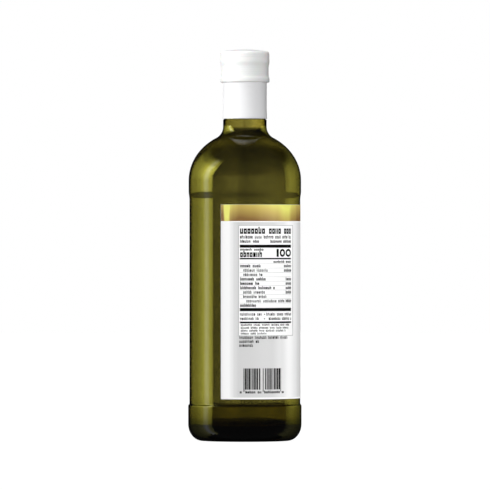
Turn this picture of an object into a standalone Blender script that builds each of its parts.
"""Round one-litre bottle of olive oil, shut, with a paper label round half of it.

The bottle stands on its base ring with the origin at the ring's centre, +Z up.
The label's left edge and its printed table face -Y.
Everything here is in metres. Sizes in the constants are millimetres times MM.
"""

import math

import bmesh
import bpy
from mathutils import Matrix, Vector

MM = 0.001

# Glass, outer shape
BASE_RING_R = 32.0 * MM
BASE_RING_WIDTH = 3.5 * MM
HEEL_HEIGHT = 12.6 * MM
BASE_BAND_R = 42.45 * MM
BASE_BAND_TOP = 25.6 * MM
PANEL_R = 41.5 * MM
PANEL_BOTTOM = 28.6 * MM
PANEL_TOP = 180.6 * MM
SHOULDER_BAND_R = 42.1 * MM
SHOULDER_BAND_BOTTOM = 187.0 * MM
SHOULDER_BAND_TOP = 195.0 * MM
SHOULDER_RISE = 37.0 * MM
NECK_R = 16.3 * MM
NECK_FILLET = 9.5 * MM
NECK_TOP = 240.4 * MM

# Glass, walls and mouth
WALL = 3.0 * MM
BASE_INNER_R = 37.4 * MM
PUNT_RISE = 9.6 * MM
FLOOR_CENTRE = 18.6 * MM
FLOOR_EDGE = 12.0 * MM
INNER_HEEL_HEIGHT = 17.6 * MM
FINISH_R = 15.7 * MM
MOUTH_TOP = 290.0 * MM
LIP_ROUND = 0.8 * MM

# What the glass holds and carries
FIT_GAP = 0.3 * MM
OIL_LEVEL = 252.0 * MM
LABEL_BOTTOM = 31.9 * MM
LABEL_TOP = 176.7 * MM
GOLD_BAND = 12.3 * MM
LABEL_THICKNESS = 0.3 * MM
LABEL_START = -25.5
LABEL_SPAN = 191.5

# Neck sleeve
SLEEVE_BOTTOM = 241.1 * MM
SLEEVE_TOP = 272.0 * MM
SLEEVE_BORE_R = 16.0 * MM
SLEEVE_HEM_R = 16.6 * MM
SLEEVE_WAIST_R = 16.36 * MM
SLEEVE_COLLAR_R = 16.46 * MM

# Screw cap
CAP_BOTTOM = 268.4 * MM
CAP_FOOT_R = 18.45 * MM
CAP_WAIST_R = 17.65 * MM
CAP_HEAD_R = 18.45 * MM
CAP_HEAD_TOP = 290.0 * MM
CAP_CORNER = 1.6 * MM
CAP_DOME = 1.5 * MM
CAP_BORE_R = 16.2 * MM
CAP_SKIRT_BORE_R = 16.8 * MM
CAP_SKIRT_DEPTH = 4.0 * MM
CAP_CEILING = 290.5 * MM

# Facets round each turned piece
GLASS_SIDES = 60
CLOSURE_SIDES = 48
SMOOTH_BELOW = math.radians(32)


def clear_scene():
    for obj in list(bpy.data.objects):
        bpy.data.objects.remove(obj, do_unlink=True)


def make_material(name, colour, roughness, transmission=0.0, metallic=0.0):
    material = bpy.data.materials.new(name)
    material.use_nodes = True
    shader = material.node_tree.nodes["Principled BSDF"]
    shader.inputs["Base Color"].default_value = (*colour, 1.0)
    shader.inputs["Roughness"].default_value = roughness
    shader.inputs["Metallic"].default_value = metallic
    shader.inputs["Transmission Weight"].default_value = transmission
    material.diffuse_color = (*colour, 1.0)
    return material


def ellipse_arc(centre, semi_axes, start, end, steps):
    """Points (r, z) on an ellipse from angle start to end, in degrees from the +r direction."""
    points = []
    for step in range(steps + 1):
        angle = math.radians(start + (end - start) * step / steps)
        points.append(
            (
                centre[0] + semi_axes[0] * math.cos(angle),
                centre[1] + semi_axes[1] * math.sin(angle),
            )
        )
    return points


def eased(start, end, steps):
    """Points (r, z) of a soft S step from start to end, both ends upright."""
    points = []
    for step in range(steps + 1):
        share = step / steps
        blend = 0.5 - 0.5 * math.cos(math.pi * share)
        points.append(
            (
                start[0] + (end[0] - start[0]) * blend,
                start[1] + (end[1] - start[1]) * share,
            )
        )
    return points


def shoulder_meets_neck(inset):
    """The angle on the shoulder ellipse where the neck's fillet touches it, and the fillet's centre."""
    wide = SHOULDER_BAND_R - inset
    tall = SHOULDER_RISE - inset
    radius = NECK_FILLET + inset
    low, high = 0.0, math.pi / 2
    for _ in range(60):
        angle = (low + high) / 2
        normal = Vector((math.cos(angle) / wide, math.sin(angle) / tall)).normalized()
        centre_r = wide * math.cos(angle) + radius * normal.x
        if centre_r > NECK_R + NECK_FILLET:
            low = angle
        else:
            high = angle
    centre_z = SHOULDER_BAND_TOP + tall * math.sin(angle) + radius * normal.y
    return angle, (centre_r, centre_z), math.atan2(-normal.y, -normal.x)


def side_outline(inset, heel, base_r, curve_steps):
    """The side from the heel up to the top of the neck, as (r, z), moved inwards by inset.

    The heel rises from heel[0] to heel[1]. The base band has the radius base_r, because
    the wall is thicker there.
    """
    ease_steps = max(2, curve_steps // 3)
    heel_axes = (base_r - BASE_RING_R, heel[1] - heel[0])
    outline = ellipse_arc((BASE_RING_R, heel[1]), heel_axes, -90, 0, curve_steps // 2)
    outline += eased((base_r, BASE_BAND_TOP), (PANEL_R - inset, PANEL_BOTTOM), ease_steps)
    outline += eased(
        (PANEL_R - inset, PANEL_TOP),
        (SHOULDER_BAND_R - inset, SHOULDER_BAND_BOTTOM),
        ease_steps,
    )
    meeting, fillet_centre, fillet_start = shoulder_meets_neck(inset)
    outline += ellipse_arc(
        (0.0, SHOULDER_BAND_TOP),
        (SHOULDER_BAND_R - inset, SHOULDER_RISE - inset),
        0,
        math.degrees(meeting),
        curve_steps,
    )
    fillet_r = NECK_FILLET + inset
    fillet_turn = math.degrees(fillet_start) % 360
    outline += ellipse_arc(
        fillet_centre, (fillet_r, fillet_r), fillet_turn, 180, curve_steps // 2 + 1
    )[1:]
    outline.append((NECK_R - inset, NECK_TOP))
    return outline


def dish(centre_z, edge, steps):
    """A shallow dome's section, from the axis out to edge (r, z)."""
    return [
        (edge[0] * step / steps, edge[1] + (centre_z - edge[1]) * (1 - (step / steps) ** 2))
        for step in range(steps + 1)
    ]


def glass_outline():
    ring_inner = (BASE_RING_R - BASE_RING_WIDTH, 0.0)
    floor_edge = (BASE_RING_R, FLOOR_EDGE)
    mouth_r = FINISH_R - WALL
    outside = dish(PUNT_RISE, ring_inner, 3) + side_outline(0.0, (0.0, HEEL_HEIGHT), BASE_BAND_R, 10)
    finish = [
        (FINISH_R, NECK_TOP + FIT_GAP),
        (FINISH_R, MOUTH_TOP - LIP_ROUND),
        (FINISH_R - LIP_ROUND, MOUTH_TOP),
        (mouth_r + LIP_ROUND, MOUTH_TOP),
        (mouth_r, MOUTH_TOP - LIP_ROUND),
        (mouth_r, NECK_TOP + WALL),
    ]
    inside = dish(FLOOR_CENTRE, floor_edge, 3)[:-1]
    inside += side_outline(WALL, (FLOOR_EDGE, INNER_HEEL_HEIGHT), BASE_INNER_R, 6)
    return outside + finish + inside[::-1]


def oil_outline():
    inset = WALL + FIT_GAP
    floor_edge = (BASE_RING_R, FLOOR_EDGE + FIT_GAP)
    heel = (FLOOR_EDGE + FIT_GAP, INNER_HEEL_HEIGHT)
    outline = dish(FLOOR_CENTRE + FIT_GAP, floor_edge, 3)[:-1]
    outline += side_outline(inset, heel, BASE_INNER_R - FIT_GAP, 6)
    level_r = FINISH_R - inset
    outline += [(level_r, NECK_TOP + WALL), (level_r, OIL_LEVEL), (0.0, OIL_LEVEL)]
    return outline


def sleeve_outline():
    """The shrunk band's section, a closed loop: up its bore, over its top and down its outside."""
    hem_top = SLEEVE_BOTTOM + 2.5 * MM
    waist = SLEEVE_BOTTOM + 12.0 * MM
    loop = [(SLEEVE_BORE_R, SLEEVE_BOTTOM), (SLEEVE_BORE_R, SLEEVE_TOP)]
    loop += [(SLEEVE_COLLAR_R, SLEEVE_TOP), (SLEEVE_COLLAR_R, CAP_BOTTOM)]
    loop += [(SLEEVE_WAIST_R, waist), (SLEEVE_HEM_R - 0.1 * MM, hem_top)]
    loop += [(SLEEVE_HEM_R, SLEEVE_BOTTOM + 1.2 * MM), (SLEEVE_HEM_R, SLEEVE_BOTTOM)]
    return loop


def cap_outline():
    """From the crown's centre down the outside, under the skirt and up the bore to the ceiling's centre."""
    corner_r = CAP_HEAD_R - CAP_CORNER - 0.25 * MM
    crown_edge = (corner_r, CAP_HEAD_TOP + CAP_CORNER)
    crown = dish(crown_edge[1] + CAP_DOME, crown_edge, 2)
    corner = ellipse_arc(
        (corner_r, CAP_HEAD_TOP), (CAP_CORNER, CAP_CORNER), 90, 0, 3
    )[1:]
    head_bottom = CAP_BOTTOM + 16.3 * MM
    waist_top = CAP_BOTTOM + 12.9 * MM
    waist_bottom = CAP_BOTTOM + 4.9 * MM
    foot_top = CAP_BOTTOM + 2.7 * MM
    side = [(CAP_HEAD_R, CAP_HEAD_TOP - 2.8 * MM)]
    side += eased((CAP_HEAD_R, head_bottom), (CAP_WAIST_R, waist_top), 4)
    side += eased((CAP_WAIST_R, waist_bottom), (CAP_FOOT_R, foot_top), 4)
    side += [(CAP_FOOT_R, CAP_BOTTOM + 0.7 * MM), (CAP_FOOT_R - 0.5 * MM, CAP_BOTTOM)]
    bore = [
        (CAP_SKIRT_BORE_R, CAP_BOTTOM),
        (CAP_SKIRT_BORE_R, CAP_BOTTOM + CAP_SKIRT_DEPTH),
        (CAP_BORE_R, CAP_BOTTOM + CAP_SKIRT_DEPTH),
        (CAP_BORE_R, CAP_CEILING),
        (0.0, CAP_CEILING),
    ]
    return crown + corner + side + bore


def add_object(name, mesh, materials):
    for material in materials:
        mesh.materials.append(material)
    mesh.shade_smooth()
    mesh.set_sharp_from_angle(angle=SMOOTH_BELOW)
    obj = bpy.data.objects.new(name, mesh)
    bpy.context.scene.collection.objects.link(obj)
    return obj


def turned_piece(name, outline, sides, material, ring=False):
    """Turns the outline a full circle round Z. A ring's outline closes on itself, another ends on the axis."""
    shape = bmesh.new()
    points = [shape.verts.new((r, 0.0, z)) for r, z in outline]
    edges = [shape.edges.new(pair) for pair in zip(points, points[1:])]
    if ring:
        edges.append(shape.edges.new((points[-1], points[0])))
    bmesh.ops.spin(
        shape,
        geom=points + edges,
        cent=(0, 0, 0),
        axis=(0, 0, 1),
        angle=math.tau,
        steps=sides,
        use_merge=True,
    )
    bmesh.ops.remove_doubles(shape, verts=shape.verts, dist=0.001 * MM)
    bmesh.ops.recalc_face_normals(shape, faces=shape.faces)
    mesh = bpy.data.meshes.new(name)
    shape.to_mesh(mesh)
    shape.free()
    return add_object(name, mesh, [material])


def build_label(paper, gold):
    """A strip of paper bent round the panel, with the gold print along its top edge."""
    inner = PANEL_R + FIT_GAP
    outer = inner + LABEL_THICKNESS
    gold_bottom = LABEL_TOP - GOLD_BAND
    start = Matrix.Rotation(math.radians(LABEL_START - 90), 3, "Z")
    section = [(inner, LABEL_BOTTOM), (outer, LABEL_BOTTOM), (outer, gold_bottom)]
    section += [(outer, LABEL_TOP), (inner, LABEL_TOP), (inner, gold_bottom)]
    shape = bmesh.new()
    points = [shape.verts.new(start @ Vector((r, 0.0, z))) for r, z in section]
    end_face = shape.faces.new(points)
    bmesh.ops.spin(
        shape,
        geom=[end_face],
        cent=(0, 0, 0),
        axis=(0, 0, 1),
        angle=math.radians(LABEL_SPAN),
        steps=round(GLASS_SIDES * LABEL_SPAN / 360),
    )
    bmesh.ops.recalc_face_normals(shape, faces=shape.faces)
    for face in shape.faces:
        printed = face.calc_center_median().z > gold_bottom
        face.material_index = int(printed and face.calc_area() > LABEL_THICKNESS**2)
    mesh = bpy.data.meshes.new("label")
    shape.to_mesh(mesh)
    shape.free()
    return add_object("label", mesh, [paper, gold])


def main():
    clear_scene()
    olive_glass = make_material("olive_glass", (0.11, 0.09, 0.02), 0.06, 0.6)
    golden_oil = make_material("golden_oil", (0.42, 0.31, 0.03), 0.05, 0.5)
    white_plastic = make_material("white_plastic", (0.83, 0.83, 0.82), 0.32)
    white_film = make_material("white_film", (0.80, 0.80, 0.80), 0.4)
    label_paper = make_material("label_paper", (0.78, 0.79, 0.79), 0.55)
    gold_print = make_material("gold_print", (0.55, 0.40, 0.12), 0.35, metallic=0.5)

    turned_piece("glass_bottle", glass_outline(), GLASS_SIDES, olive_glass)
    turned_piece("olive_oil", oil_outline(), GLASS_SIDES, golden_oil)
    turned_piece("screw_cap", cap_outline(), CLOSURE_SIDES, white_plastic)
    turned_piece("neck_sleeve", sleeve_outline(), CLOSURE_SIDES, white_film, ring=True)
    build_label(label_paper, gold_print)


main()
